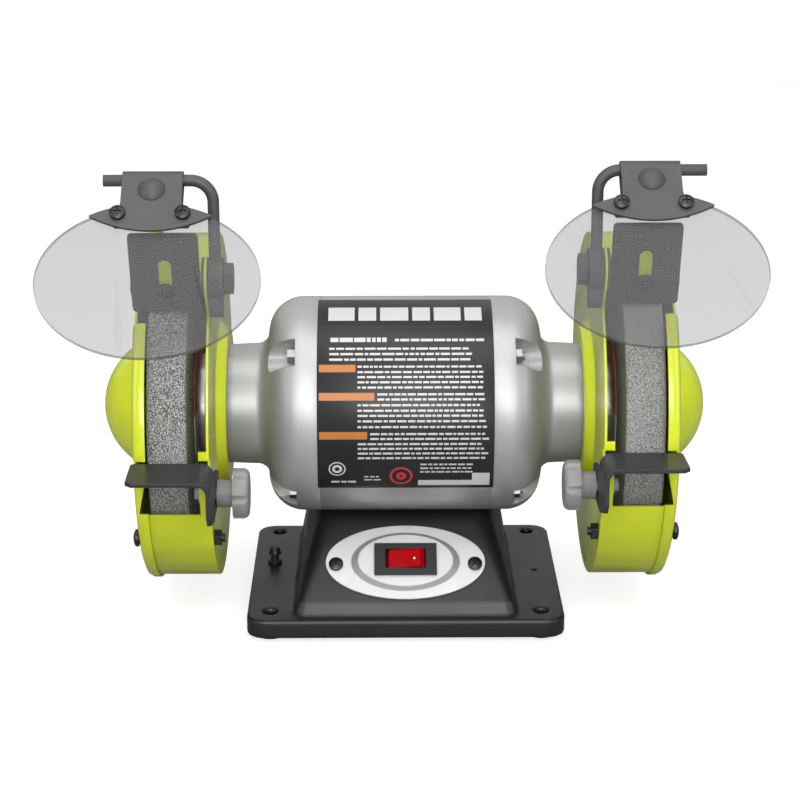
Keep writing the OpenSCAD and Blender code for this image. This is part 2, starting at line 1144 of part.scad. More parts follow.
module shield_bracket() {
    at_rod() {
        difference() {
            translate([-13.75, -16, rod_r + 0.05])
                cube([27.5, 16, 1.5]);
            translate([0, -8.4, 0])
                cylinder(h = 10, r = 2.6);
        }
        difference() {
            rod_x(-13.75, 13.75, rod_r + 1.55);
            rod_x(-15, 15, rod_r + 0.05);
            translate([-20, -20, -rod_r - 2])
                cube([40, 20, 2 * rod_r + 4]);
        }
        difference() {
            translate([-13.75, -12.5, -rod_r - 1.55])
                cube([27.5, 12.5, 1.5]);
            translate([0, -8.4, -10])
                cylinder(h = 10, r = 2.6);
        }
    }
    at_lens()
        difference() {
            linear_extrude(height = 1.5)
                union() {
                    translate([-13.9, -3])
                        square([27.8, 3.4]);
                    polygon(concat(
                        [for (i = [-10:10]) [2.74 * i, -lens_edge(2.74 * i) + 0.4]],
                        [for (i = [10:-1:-10]) [2.74 * i, -14 + 0.074 * i * i - 0.4]]
                    ));
                }
            for (sx = [-1, 1])
                translate([sx * 14.6, -5.5, -5])
                    cylinder(h = 10, r = 2);
        }
}

module shield_bracket_left() {
    color([0.25, 0.25, 0.26])
    shielded(-1)
        shield_bracket();
}

module shield_bracket_right() {
    color([0.25, 0.25, 0.26])
    shielded(1)
        shield_bracket();
}

module shield_lens() {
    at_lens()
        difference() {
            translate([0, -0.5 - lens_h / 2, -2.45])
                linear_extrude(height = 2.4)
                    oval(lens_w / 2, lens_h / 2);
            for (sx = [-1, 1])
                translate([sx * 14.6, -5.5, -5])
                    cylinder(h = 10, r = 2);
        }
}

module shield_lens_left() {
    color([0.8, 0.82, 0.82, 0.4])
    shielded(-1)
        shield_lens();
}

module shield_lens_right() {
    color([0.8, 0.82, 0.82, 0.4])
    shielded(1)
        shield_lens();
}

module lens_screws() {
    at_lens()
        for (sx = [-1, 1])
            translate([sx * 14.6, -5.5, 1.55]) {
                pan_screw(3.5, 2.5, 1.9, 8);
                translate([0, 0, -7.4])
                    difference() {
                        cylinder(h = 3.1, r = 4, $fn = 6);
                        cylinder(h = 3.1, r = 1.5);
                    }
            }
}

module lens_screws_left() {
    color([0.12, 0.12, 0.12])
    shielded(-1)
        lens_screws();
}

module lens_screws_right() {
    color([0.12, 0.12, 0.12])
    shielded(1)
        lens_screws();
}

// Domed bolt through the folded bracket, with its nut behind.
module bracket_bolt() {
    at_rod()
        translate([0, -8.4, rod_r + 1.6]) {
            intersection() {
                cylinder(h = 4, r = 6.2);
                translate([0, 0, -4.7])
                    sphere(r = 7.9);
            }
            translate([0, 0, -13])
                cylinder(h = 13.2, r = 2.4);
            translate([0, 0, -12])
                cylinder(h = 3.2, r = 4.6, $fn = 6);
        }
}

module bracket_bolt_left() {
    color([0.25, 0.25, 0.26])
    shielded(-1)
        bracket_bolt();
}

module bracket_bolt_right() {
    color([0.25, 0.25, 0.26])
    shielded(1)
        bracket_bolt();
}

base();
rubber_feet();
bottom_cover();
bottom_cover_screws();
switch_plate();
switch_plate_screws();
switch_housing();
rocker();
cord_gland();
flange_plug();
motor_mount_bolts();
run_capacitor();
nameplate();
stator_shell();
end_bell_left();
end_bell_right();
through_bolts();
through_bolt_nuts();
stator_core();
stator_windings();
rotor_core();
rotor_cage();
spindle_shaft();
bearing_outer_rings();
bearing_inner_rings();
bearing_balls();
inner_wheel_flanges();
wheel_blotters();
wheel_left();
wheel_right();
outer_wheel_flanges();
spindle_nuts();
guard_inner_left();
guard_inner_right();
guard_cover_left();
guard_cover_right();
guard_cover_screws();
guard_cover_nuts();
guard_mount_screws();
spark_plate_left();
spark_plate_right();
spark_plate_screws();
tool_rest_left();
tool_rest_right();
rest_knob_left();
rest_knob_right();
rest_nuts();
shield_arm_left();
shield_arm_right();
clamp_bolts();
clamp_nut_plates();
shield_bracket_left();
shield_bracket_right();
shield_lens_left();
shield_lens_right();
lens_screws_left();
lens_screws_right();
bracket_bolt_left();
bracket_bolt_right();
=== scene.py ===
"""Looks of the bench grinder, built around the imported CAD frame. Metres, Z up, front faces -Y."""
import math
import random
import json

import bmesh
import bpy
from mathutils import Matrix, Vector


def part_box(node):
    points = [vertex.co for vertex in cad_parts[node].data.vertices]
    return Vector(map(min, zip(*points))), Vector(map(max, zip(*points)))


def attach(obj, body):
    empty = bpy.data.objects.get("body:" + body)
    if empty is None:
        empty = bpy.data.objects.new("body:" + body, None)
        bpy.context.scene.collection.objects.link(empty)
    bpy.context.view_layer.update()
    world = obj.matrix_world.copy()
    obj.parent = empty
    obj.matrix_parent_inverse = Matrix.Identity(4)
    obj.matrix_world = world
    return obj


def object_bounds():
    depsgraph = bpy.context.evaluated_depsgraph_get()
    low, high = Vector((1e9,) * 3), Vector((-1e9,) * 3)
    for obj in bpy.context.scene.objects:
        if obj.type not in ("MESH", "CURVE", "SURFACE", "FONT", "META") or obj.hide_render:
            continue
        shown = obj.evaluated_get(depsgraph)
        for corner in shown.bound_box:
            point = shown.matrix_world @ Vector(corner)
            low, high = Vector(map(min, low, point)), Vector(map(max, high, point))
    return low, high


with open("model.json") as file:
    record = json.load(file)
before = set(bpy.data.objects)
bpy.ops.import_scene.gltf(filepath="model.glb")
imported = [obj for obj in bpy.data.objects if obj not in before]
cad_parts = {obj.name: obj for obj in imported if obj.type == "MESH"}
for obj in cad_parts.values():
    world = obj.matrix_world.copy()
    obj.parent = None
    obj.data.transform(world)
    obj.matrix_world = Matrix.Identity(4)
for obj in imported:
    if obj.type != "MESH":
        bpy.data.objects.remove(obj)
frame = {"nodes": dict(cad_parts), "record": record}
cad_low, cad_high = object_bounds()
scene = bpy.context.scene
scene.view_settings.view_transform = "Standard"

MM = 0.001
shell_low, shell_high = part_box("stator_shell")
SPINDLE_Z = (shell_low.z + shell_high.z) / 2
MOTOR_R = (shell_high.z - shell_low.z) / 2

# The switch panel: its slope, its lower edge, and its middle, which lies up the slope from there.
PANEL_SLOPE = math.radians(40)
PANEL_FOOT = Vector((0, -0.06, 0.01755))
PANEL_RUN = 0.0228
PANEL = PANEL_FOOT + Vector((0, PANEL_RUN * math.cos(PANEL_SLOPE), PANEL_RUN * math.sin(PANEL_SLOPE)))


# ---------- node helpers ----------

class Look:
    """A procedural material whose shader sockets are set by name."""

    def __init__(self, name, **sockets):
        self.material = bpy.data.materials.new(name)
        self.material.use_nodes = True
        self.tree = self.material.node_tree
        self.tree.nodes.clear()
        self.shader = self.tree.nodes.new("ShaderNodeBsdfPrincipled")
        self.output = self.tree.nodes.new("ShaderNodeOutputMaterial")
        self.tree.links.new(self.shader.outputs[0], self.output.inputs[0])
        self.coordinates = self.tree.nodes.new("ShaderNodeTexCoord")
        self.place = self.coordinates.outputs["Object"]
        for key, value in sockets.items():
            self.plug(self.shader.inputs[key.replace("_", " ")], value)

    def plug(self, socket, value):
        if isinstance(value, bpy.types.NodeSocket):
            self.tree.links.new(value, socket)
        elif socket.type == "RGBA" and not isinstance(value, (int, float)):
            socket.default_value = (*value[:3], 1)
        else:
            socket.default_value = value

    def add(self, kind, inputs, **options):
        node = self.tree.nodes.new(kind)
        for key, value in options.items():
            setattr(node, key, value)
        for key, value in inputs.items():
            self.plug(node.inputs[key], value)
        return node

    def calc(self, operation, a, b=0.0):
        node = self.add("ShaderNodeMath", {0: a, 1: b}, operation=operation)
        return node.outputs[0]

    def noise(self, scale, detail=3.0, roughness=0.5, place=None):
        node = self.add("ShaderNodeTexNoise", {"Vector": place or self.place, "Scale": scale,
                                               "Detail": detail, "Roughness": roughness})
        return node.outputs[0]

    def cells(self, scale, output="Distance"):
        node = self.add("ShaderNodeTexVoronoi", {"Vector": self.place, "Scale": scale})
        return node.outputs[output]

    def spread(self, value, low, high, to_low=0.0, to_high=1.0):
        node = self.add("ShaderNodeMapRange", {0: value, 1: low, 2: high, 3: to_low, 4: to_high})
        return node.outputs[0]

    def ramp(self, value, *stops):
        node = self.add("ShaderNodeValToRGB", {0: value})
        band = node.color_ramp
        while len(band.elements) < len(stops):
            band.elements.new(0.5)
        for element, (at, colour) in zip(band.elements, stops):
            element.position = at
            element.color = (*colour, 1)
        return node.outputs[0]

    def mix(self, amount, first, second):
        node = self.tree.nodes.new("ShaderNodeMix")
        node.data_type = "RGBA"
        self.plug(node.inputs[0], amount)
        self.plug(node.inputs[6], first)
        self.plug(node.inputs[7], second)
        return node.outputs[2]

    def axis(self, name, place=None):
        node = self.add("ShaderNodeSeparateXYZ", {0: place or self.place})
        return node.outputs[name]

    def stretch(self, x, y, z):
        node = self.add("ShaderNodeVectorMath", {0: self.place, 1: (x, y, z)}, operation="MULTIPLY")
        return node.outputs[0]

    def bump(self, height, distance, after=None):
        node = self.add("ShaderNodeBump", {"Height": height, "Distance": distance, "Strength": 1.0})
        if after is not None:
            self.plug(node.inputs["Normal"], after)
        return node.outputs[0]

    def set(self, **sockets):
        for key, value in sockets.items():
            self.plug(self.shader.inputs[key.replace("_", " ")], value)

    def edges(self, low, high):
        """1 on convex edges, 0 on flat faces."""
        node = self.add("ShaderNodeNewGeometry", {})
        return self.spread(node.outputs["Pointiness"], low, high)


def tint(colour, amount):
    return tuple(min(1.0, c * amount) for c in colour)


def painted(name, colour, roughness, peel=0.00002, peel_scale=900.0, edge_wear_and_highlight=None, **sockets):
    """Powder coat or enamel: orange peel, slight drift of gloss and colour, and if asked, convex edges
    painted lighter, part wear and part painted highlight.
    """
    look = Look(name, **sockets)
    drift = look.noise(26.0, 4.0)
    base = look.mix(look.spread(drift, 0.3, 0.7), tint(colour, 0.94), tint(colour, 1.06))
    if edge_wear_and_highlight is not None:
        # Convex edges painted lighter in patches: part wear, part painted highlight.
        patches = look.spread(look.noise(420.0), 0.45, 0.75)
        rub_and_highlight = look.calc("MULTIPLY", look.edges(0.53, 0.62), patches)
        base = look.mix(look.calc("MULTIPLY", rub_and_highlight, 0.55), base, edge_wear_and_highlight)
    peel_height = look.noise(peel_scale, 2.0)
    fine = look.noise(peel_scale * 3.5, 2.0)
    gloss = look.spread(look.noise(60.0, 5.0, 0.6), 0.3, 0.7, roughness - 0.03, roughness + 0.03)
    look.set(Base_Color=base, Roughness=gloss)
    normal = look.bump(peel_height, peel)
    look.set(Normal=look.bump(fine, peel * 0.25, after=normal))
    return look.material


def metal(name, colour, roughness, grain_scale=(400, 400, 400), dark=0.82, **sockets):
    """Plated or turned metal with fine directional grain and patchy gloss."""
    look = Look(name, Metallic=1.0, **sockets)
    grain = look.noise(1.0, 4.0, 0.6, look.stretch(*grain_scale))
    patch = look.noise(90.0, 4.0)
    base = look.mix(look.spread(patch, 0.35, 0.7), tint(colour, dark), colour)
    look.set(Base_Color=base,
             Roughness=look.spread(grain, 0.3, 0.7, roughness - 0.08, roughness + 0.1),
             Normal=look.bump(grain, 0.00001))
    return look.material


def moulded(name, colour, roughness, scale=1500.0, depth=0.00003, **sockets):
    """Moulded plastic or rubber with a spark-eroded surface grain."""
    look = Look(name, **sockets)
    grain = look.noise(scale, 3.0, 0.6)
    cloud = look.noise(40.0, 3.0)
    base = look.mix(look.spread(cloud, 0.3, 0.7), tint(colour, 0.92), tint(colour, 1.08))
    # Convex edges painted lighter: part scuff wear, part painted highlight.
    scuff_and_highlight = look.calc("MULTIPLY", look.edges(0.53, 0.63), 0.25)
    look.set(Base_Color=look.mix(scuff_and_highlight, base, tint(colour, 1.8)),
             Roughness=look.spread(grain, 0.3, 0.7, roughness - 0.05, roughness + 0.05),
             Normal=look.bump(grain, depth))
    return look.material


def grit(name, size, dark, mid, light, depth):
    """Bonded abrasive: grains of three tones with open pores between them, the pores painted darker as
    painted shade.
    """
    look = Look(name, Specular_IOR_Level=0.35)
    tone = look.cells(1 / size, output="Color")
    pick = look.axis("X", tone)
    second = look.axis("X", look.cells(1.9 / size, output="Color"))
    grains = look.ramp(pick, (0.0, dark), (0.3, tint(mid, 0.7)), (0.62, mid), (0.93, light))
    small = look.ramp(second, (0.0, dark), (0.35, mid), (0.97, light))
    blend = look.mix(look.spread(look.noise(0.6 / size, 2.0), 0.4, 0.6), grains, small)
    # The gaps between the grains sink in the bump and are painted darker: painted shade in the pores.
    pore_depth_and_shade = look.spread(look.cells(1 / size), 0.25, 0.62)
    cloud = look.spread(look.noise(60.0, 4.0), 0.3, 0.7, 0.0, 0.22)
    look.set(Base_Color=look.mix(cloud, look.mix(pore_depth_and_shade, blend, tint(dark, 0.55)), mid),
             Roughness=look.spread(pick, 0.0, 1.0, 0.9, 0.6))
    height = look.calc("ADD", look.calc("MULTIPLY", pick, 0.6), look.calc("MULTIPLY", pore_depth_and_shade, -1.0))
    look.set(Normal=look.bump(height, depth))
    return look.material


# ---------- materials by slot ----------

LIME = (0.575, 0.655, 0.015)


def motor_paint():
    look = Look("motor_paint", Metallic=0.55, Coat_Weight=0.1, Coat_Roughness=0.3)
    flake = look.cells(5200.0, output="Color")
    spark = look.axis("X", flake)
    drift = look.noise(30.0, 4.0)
    base = look.mix(look.spread(drift, 0.3, 0.7), (0.38, 0.384, 0.39), (0.42, 0.424, 0.43))
    base = look.mix(look.spread(spark, 0.0, 1.0, 0.0, 0.3), base, (0.58, 0.585, 0.59))
    cast = look.noise(700.0, 3.0, 0.6)
    look.set(Base_Color=base, Roughness=look.spread(cast, 0.3, 0.7, 0.4, 0.5))
    normal = look.bump(cast, 0.000018)
    look.set(Normal=look.bump(spark, 0.000006, after=normal))
    return look.material


def blotter_paper():
    """Card discs: printed tan on the upper half, bare on the lower half."""
    look = Look("blotter_paper", Specular_IOR_Level=0.25)
    height = look.calc("SUBTRACT", look.axis("Z"), SPINDLE_Z + 0.004)
    fibres = look.noise(1400.0, 5.0, 0.7)
    torn = look.calc("ADD", height, look.spread(look.noise(240.0), 0.0, 1.0, -0.003, 0.003))
    printed = look.spread(torn, -0.001, 0.001)
    tan = look.mix(fibres, (0.36, 0.1, 0.045), (0.62, 0.24, 0.13))
    bare = look.mix(fibres, (0.42, 0.41, 0.4), (0.62, 0.61, 0.6))
    look.set(Base_Color=look.mix(printed, bare, tan),
             Roughness=look.spread(fibres, 0.2, 0.8, 0.78, 0.95),
             Normal=look.bump(fibres, 0.00005))
    return look.material


def switch_panel():
    """Satin silver plate with painted shade on its pressed ring wall."""
    look = Look("switch_panel", Metallic=0.3)
    across = look.calc("DIVIDE", look.axis("X"), 0.02505)
    rise = look.calc("MULTIPLY", look.calc("SUBTRACT", look.axis("Z"), PANEL.z), math.sin(PANEL_SLOPE))
    run = look.calc("MULTIPLY", look.calc("SUBTRACT", look.axis("Y"), PANEL.y), math.cos(PANEL_SLOPE))
    along = look.calc("DIVIDE", look.calc("ADD", rise, run), 0.0152)
    reach = look.calc("SQRT", look.calc("ADD", look.calc("POWER", across, 2.0),
                                        look.calc("POWER", along, 2.0)))
    # Painted shade: the ring wall of the pressing is painted darker, where shade falls in the groove.
    ring_wall_shade = look.spread(look.calc("ABSOLUTE", look.calc("SUBTRACT", reach, 1.0)), 0.055, 0.085, 1.0, 0.0)
    satin = look.noise(1.0, 4.0, 0.6, look.stretch(1500.0, 1500.0, 1500.0))
    cloud = look.noise(35.0, 3.0)
    base = look.mix(look.spread(cloud, 0.3, 0.7), (0.55, 0.553, 0.56), (0.61, 0.613, 0.62))
    look.set(Base_Color=look.mix(look.calc("MULTIPLY", ring_wall_shade, 0.75), base, (0.2, 0.2, 0.203)),
             Roughness=look.spread(satin, 0.3, 0.7, 0.4, 0.48), Normal=look.bump(satin, 0.000008))
    return look.material


def red_rocker():
    look = Look("red_rocker", IOR=1.4, Specular_IOR_Level=0.06)
    depth = look.spread(look.noise(160.0, 2.0), 0.2, 0.8)
    base = look.mix(depth, (0.24, 0.0005, 0.002), (0.34, 0.001, 0.004))
    # The faint red emission is a painted glow, standing in for light passing through the translucent
    # red plastic.
    look.set(Base_Color=base, Emission_Color=(0.75, 0.004, 0.012), Emission_Strength=0.07,
             Roughness=look.spread(look.noise(500.0), 0.3, 0.7, 0.16, 0.24),
             Normal=look.bump(look.noise(1200.0), 0.000008))
    return look.material


def lamination():
    look = Look("lamination", Metallic=1.0)
    sheets = look.calc("SINE", look.calc("MULTIPLY", look.axis("X"), 2 * math.pi / 0.0008))
    rust = look.spread(look.noise(120.0, 5.0), 0.5, 0.75)
    look.set(Base_Color=look.mix(rust, (0.3, 0.31, 0.33), (0.2, 0.14, 0.1)),
             Roughness=look.spread(sheets, -1.0, 1.0, 0.35, 0.6),
             Normal=look.bump(sheets, 0.00006))
    return look.material


def copper():
    look = Look("copper", Metallic=1.0, Coat_Weight=0.7, Coat_Roughness=0.12)
    turns = look.calc("SINE", look.calc("MULTIPLY", look.calc(
        "SQRT", look.calc("ADD", look.calc("POWER", look.axis("Y"), 2.0),
                          look.calc("POWER", look.calc("SUBTRACT", look.axis("Z"), SPINDLE_Z), 2.0))),
        2 * math.pi / 0.0009))
    shade = look.noise(300.0, 4.0)
    look.set(Base_Color=look.mix(shade, (0.48, 0.15, 0.06), (0.78, 0.34, 0.16)),
             Roughness=look.spread(shade, 0.3, 0.7, 0.28, 0.42),
             Normal=look.bump(turns, 0.0001))
    return look.material


def clear_lens():
    """Grey-tinted polycarbonate: an even film over the faces, faint wiping marks, and a rim painted
    darker and denser as painted shade on the edge faces.
    """
    look = Look("clear_lens", IOR=1.49, Coat_Weight=0.2, Coat_Roughness=0.04)
    haze = look.noise(45.0, 3.0)
    faces = frame["nodes"]["shield_lens_left"].data.polygons
    front = max(faces, key=lambda face: face.area).normal
    facing = look.add("ShaderNodeVectorMath", {0: look.coordinates.outputs["Normal"], 1: front},
                      operation="DOT_PRODUCT").outputs["Value"]
    # Painted shade: the edge faces, square to the front face, are made denser so the rim shows darker.
    rim_painted_shade = look.spread(look.calc("ABSOLUTE", facing), 0.8, 0.95, 1.0, 0.0)
    film = look.mix(haze, (0.062, 0.062, 0.065), (0.078, 0.078, 0.081))
    look.set(Base_Color=look.mix(rim_painted_shade, film, (0.1, 0.1, 0.103)),
             Alpha=look.spread(rim_painted_shade, 0.0, 1.0, 0.31, 0.62),
             Roughness=look.spread(haze, 0.35, 0.75, 0.1, 0.18))
    look.set(Normal=look.bump(look.noise(60.0, 2.0), 0.000001))
    return look.material


def nameplate():
    look = Look("nameplate", Coat_Weight=0.15, Coat_Roughness=0.25, Specular_IOR_Level=0.35)
    weave = look.noise(2200.0, 2.0)
    cloud = look.noise(50.0, 4.0)
    look.set(Base_Color=look.mix(cloud, (0.008, 0.008, 0.009), (0.016, 0.016, 0.017)),
             Roughness=look.spread(cloud, 0.3, 0.7, 0.36, 0.46),
             Normal=look.bump(weave, 0.00001))
    return look.material


LOOKS = {
    "base_paint": painted("base_paint", (0.0085, 0.0085, 0.009), 0.4, 0.00002, 1100.0,
                          (0.05, 0.05, 0.052)),
    "rubber": moulded("rubber", (0.018, 0.018, 0.018), 0.75, 1800.0, 0.00005),
    "zinc": metal("zinc", (0.42, 0.425, 0.435), 0.42),
    "switch_panel": switch_panel(),
    "black_screws": metal("black_screws", (0.065, 0.065, 0.067), 0.36, dark=0.7),
    "black_plastic": moulded("black_plastic", (0.007, 0.007, 0.0072), 0.52),
    "red_rocker": red_rocker(),
    "capacitor_can": moulded("capacitor_can", (0.72, 0.71, 0.68), 0.45),
    "nameplate": nameplate(),
    "motor_paint": motor_paint(),
    "lamination": lamination(),
    "copper": copper(),
    "cast_aluminium": metal("cast_aluminium", (0.7, 0.71, 0.73), 0.5, (900, 900, 900)),
    "bearing_steel": metal("bearing_steel", (0.66, 0.66, 0.68), 0.2, (3000, 200, 200)),
    "blotter_paper": blotter_paper(),
    "coarse_grit": grit("coarse_grit", 0.00065, (0.17, 0.17, 0.172), (0.53, 0.53, 0.53),
                        (0.84, 0.83, 0.82), 0.00012),
    "fine_grit": grit("fine_grit", 0.0005, (0.24, 0.24, 0.242), (0.46, 0.46, 0.46),
                      (0.7, 0.7, 0.69), 0.00007),
    "guard_paint": painted("guard_paint", LIME, 0.3, 0.00002, 800.0, Coat_Weight=0.35,
                           Coat_Roughness=0.1),
    "bracket_paint": painted("bracket_paint", (0.053, 0.053, 0.054), 0.5, 0.000004, 900.0),
    "rest_paint": painted("rest_paint", (0.018, 0.018, 0.019), 0.42, 0.000008, 1000.0),
    "knob_plastic": moulded("knob_plastic", (0.23, 0.23, 0.23), 0.46),
    "clear_lens": clear_lens(),
}

for part in frame["record"]["subparts"]:
    mesh = frame["nodes"][part["node"]].data
    mesh.materials.clear()
    mesh.materials.append(LOOKS[part["material_slot"]])

# The spark plates are darker than the brackets. The clear lenses hardly shade what stands behind
# them, and the lime of the guards stays out of the gloss of the motor.
spark_paint = painted("spark_paint", (0.034, 0.034, 0.035), 0.5, 0.000004, 900.0)
for side in ("left", "right"):
    frame["nodes"]["shield_lens_" + side].visible_shadow = False
    frame["nodes"]["spark_plate_" + side].data.materials[0] = spark_paint
    frame["nodes"]["guard_inner_" + side].visible_glossy = False


# ---------- edge rounding on the CAD nodes ----------

# Edge radii in mm, 0.15 for every node not named, and the cell of the remeshed nodes.
CELL = 0.9
ROUNDING = {
    "guard_inner_left": 0.12, "guard_inner_right": 0.12, "guard_cover_left": 0.3,
    "guard_cover_right": 0.3, "tool_rest_left": 0.35, "tool_rest_right": 0.35,
    "rest_knob_left": 0.5, "rest_knob_right": 0.5, "switch_plate": 0.25, "switch_housing": 0.2,
    "rocker": 0.35, "end_bell_left": 0.5, "end_bell_right": 0.5, "shield_bracket_left": 0.3,
    "shield_bracket_right": 0.3, "spark_plate_left": 0.35, "spark_plate_right": 0.35,
    "shield_lens_left": 0.3, "shield_lens_right": 0.3, "shield_arm_left": 0.25,
    "shield_arm_right": 0.25, "rubber_feet": 0.6, "nameplate": 0.1,
}


def weld(piece):
    """Joins the CAD mesh, which is split at each of its faces."""
    piece.modifiers.new("weld", "WELD").merge_threshold = 0.000002


def rounded(node, width):
    """Rounds the sharp edges of a CAD mesh, with clean shading."""
    piece = frame["nodes"][node]
    weld(piece)
    bevel = piece.modifiers.new("bevel", "BEVEL")
    bevel.width = width * MM
    bevel.segments = 2
    bevel.limit_method = "ANGLE"
    bevel.angle_limit = math.radians(32)
    bevel.use_clamp_overlap = True
    bevel.harden_normals = True


def recast(node, cell, passes):
    """Even mesh in cells of so many mm, with soft cast edges after the smoothing passes."""
    piece = frame["nodes"][node]
    weld(piece)
    remesh = piece.modifiers.new("recast", "REMESH")
    remesh.mode = "VOXEL"
    remesh.voxel_size = cell * MM
    remesh.use_smooth_shade = True
    if passes:
        soften = piece.modifiers.new("soften", "SMOOTH")
        soften.factor = 0.5
        soften.iterations = passes


def pitted(node, grain, depth):
    """Rough face of bonded grit, cut inward only so the wheel keeps its size."""
    recast(node, CELL, 0)
    field = bpy.data.textures.new(node + "_grain", "CLOUDS")
    field.noise_scale = grain * MM
    field.noise_depth = 1
    rough = frame["nodes"][node].modifiers.new("grain", "DISPLACE")
    rough.texture = field
    rough.texture_coords = "LOCAL"
    rough.strength = depth * MM
    rough.mid_level = 1.0


for name in frame["nodes"]:
    if name == "base":
        recast(name, CELL, 10)
    elif name == "wheel_left":
        pitted(name, 1.6, 0.5)
    elif name == "wheel_right":
        pitted(name, 1.1, 0.3)
    else:
        rounded(name, ROUNDING.get(name, 0.15))


# ---------- print on the name plate ----------

# Radius of the plate's outer face, and how far ink sinks below it and stands above it.
PLATE_R = max(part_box("nameplate")[1].z - SPINDLE_Z, MOTOR_R + 0.0003)
INK_SINK = 0.00003
BAR_RISE = 0.00007
MARK_RISE = 0.00008


def on_plate(mesh, x, angle, lift):
    """A point on the plate at an angle in radians above the front, lifted off its face."""
    r = PLATE_R + lift
    return mesh.verts.new((x, -r * math.cos(angle), SPINDLE_Z + r * math.sin(angle)))


def bar(mesh, x0, x1, a0, a1):
    """Thin closed patch of ink from x0 to x1 in mm and from a0 to a1 in degrees above the front."""
    steps = int(abs(a1 - a0)) + 1
    corners = ((x0, -INK_SINK), (x1, -INK_SINK), (x1, BAR_RISE), (x0, BAR_RISE))
    rings = []
    for i in range(steps + 1):
        angle = math.radians(a0 + (a1 - a0) * i / steps)
        rings.append([on_plate(mesh, x * MM, angle, lift) for x, lift in corners])
    for lower, upper in zip(rings, rings[1:]):
        for k in range(4):
            mesh.faces.new((lower[k], lower[(k + 1) % 4], upper[(k + 1) % 4], upper[k]))
    mesh.faces.new(rings[0][::-1])
    mesh.faces.new(rings[-1])


def finish_mesh(mesh, name, look, smooth=False):
    bmesh.ops.recalc_face_normals(mesh, faces=mesh.faces)
    data = bpy.data.meshes.new(name)
    mesh.to_mesh(data)
    mesh.free()
    data.materials.append(look)
    if smooth:
        data.shade_smooth()
    piece = bpy.data.objects.new(name, data)
    scene.collection.objects.link(piece)
    return piece


def ink(name, colour):
    look = Look(name, Coat_Weight=0.12, Coat_Roughness=0.3)
    fade = look.noise(900.0, 4.0)
    look.set(Base_Color=look.mix(fade, tint(colour, 0.86), colour),
             Roughness=look.spread(fade, 0.3, 0.7, 0.4, 0.5),
             Normal=look.bump(fade, 0.000005))
    return look.material


def dashes(mesh, x0, x1, angle, tall, rng, longest=5.0):
    """One line of broken dashes, sizes in mm, standing in for small print."""
    half = math.degrees(tall / 2 * MM / PLATE_R)
    x = x0
    while x < x1 - 1.0:
        end = min(x1, x + rng.uniform(1.4, longest))
        bar(mesh, x, end, angle - half, angle + half)
        x = end + rng.uniform(0.55, 0.8)


def print_white():
    rng = random.Random(7)
    mesh = bmesh.new()
    for x0, x1 in ((-37.2, -24.5), (-22.6, -14.0), (-12.1, 1.6),
                   (3.5, 12.1), (14.0, 27.0), (28.9, 37.2)):
        bar(mesh, x0, x1, 65.0, 77.0)
    dashes(mesh, -36.0, -9.0, 51.6, 2.6, rng, 9.0)
    dashes(mesh, -5.0, 38.0, 51.4, 1.5, rng, 6.0)
    for angle in (46.2, 43.1, 40.0):
        dashes(mesh, -36.5, 30.0 + 4 * rng.random(), angle, 1.15, rng, 7.0)
    for angle in (36.1, 33.2, 30.6, 27.9, 25.2):
        dashes(mesh, -23.0, 36.0 + 4 * rng.random(), angle, 1.0, rng)
    # Two paragraphs whose first two lines start beside an orange bar.
    for beside, angles in ((-13.5, (21.7, 19.1, 16.2, 13.4, 10.8, 8.0, 5.0)),
                           (-17.0, (1.3, -1.3, -4.1, -6.7, -9.4, -12.1))):
        for line, angle in enumerate(angles):
            start = beside if line < 2 else -23.0
            dashes(mesh, start, 36.0 + 4 * rng.random(), angle, 1.0, rng)
    for angle in (-16.0, -18.4, -20.8):
        dashes(mesh, 7.0, 31.0 + 3 * rng.random(), angle, 0.9, rng, 4.0)
    bar(mesh, 6.0, 40.5, -30.4, -26.6)
    bar(mesh, 32.0, 40.5, -26.6, -21.6)
    dashes(mesh, -36.0, -24.0, -27.6, 1.2, rng)
    dashes(mesh, -20.0, -12.0, -24.0, 0.8, rng, 4.0)
    dashes(mesh, -20.0, -12.0, -26.2, 0.8, rng, 4.0)
    piece = finish_mesh(mesh, "plate_print_white", ink("ink_white", (0.56, 0.56, 0.56)))
    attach(piece, "frame")


def print_orange():
    mesh = bmesh.new()
    bar(mesh, -41.4, -24.0, 33.2, 37.2)
    bar(mesh, -41.4, -15.0, 18.6, 22.5)
    bar(mesh, -41.4, -18.5, -1.5, 2.5)
    piece = finish_mesh(mesh, "plate_print_orange", ink("ink_orange", (0.46, 0.155, 0.022)))
    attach(piece, "frame")


def bridge(mesh, first, second):
    """Quads between two closed loops of the same length."""
    for i in range(len(first)):
        j = (i + 1) % len(first)
        mesh.faces.new((first[i], first[j], second[j], second[i]))


def circle(count):
    """Angles of evenly spaced points round a circle."""
    return [2 * math.pi * i / count for i in range(count)]


def ring_mark(mesh, x, angle, r0, r1):
    """Flat ring of ink wrapped on the plate: place and radii in mm, angle in degrees."""
    loops = []
    for r, lift in ((r0, -INK_SINK), (r1, -INK_SINK), (r1, MARK_RISE), (r0, MARK_RISE)):
        loops.append([on_plate(mesh, (x + r * math.cos(t)) * MM,
                               math.radians(angle) + r * MM * math.sin(t) / PLATE_R, lift)
                      for t in circle(40)])
    for k in range(4):
        bridge(mesh, loops[k], loops[(k + 1) % 4])


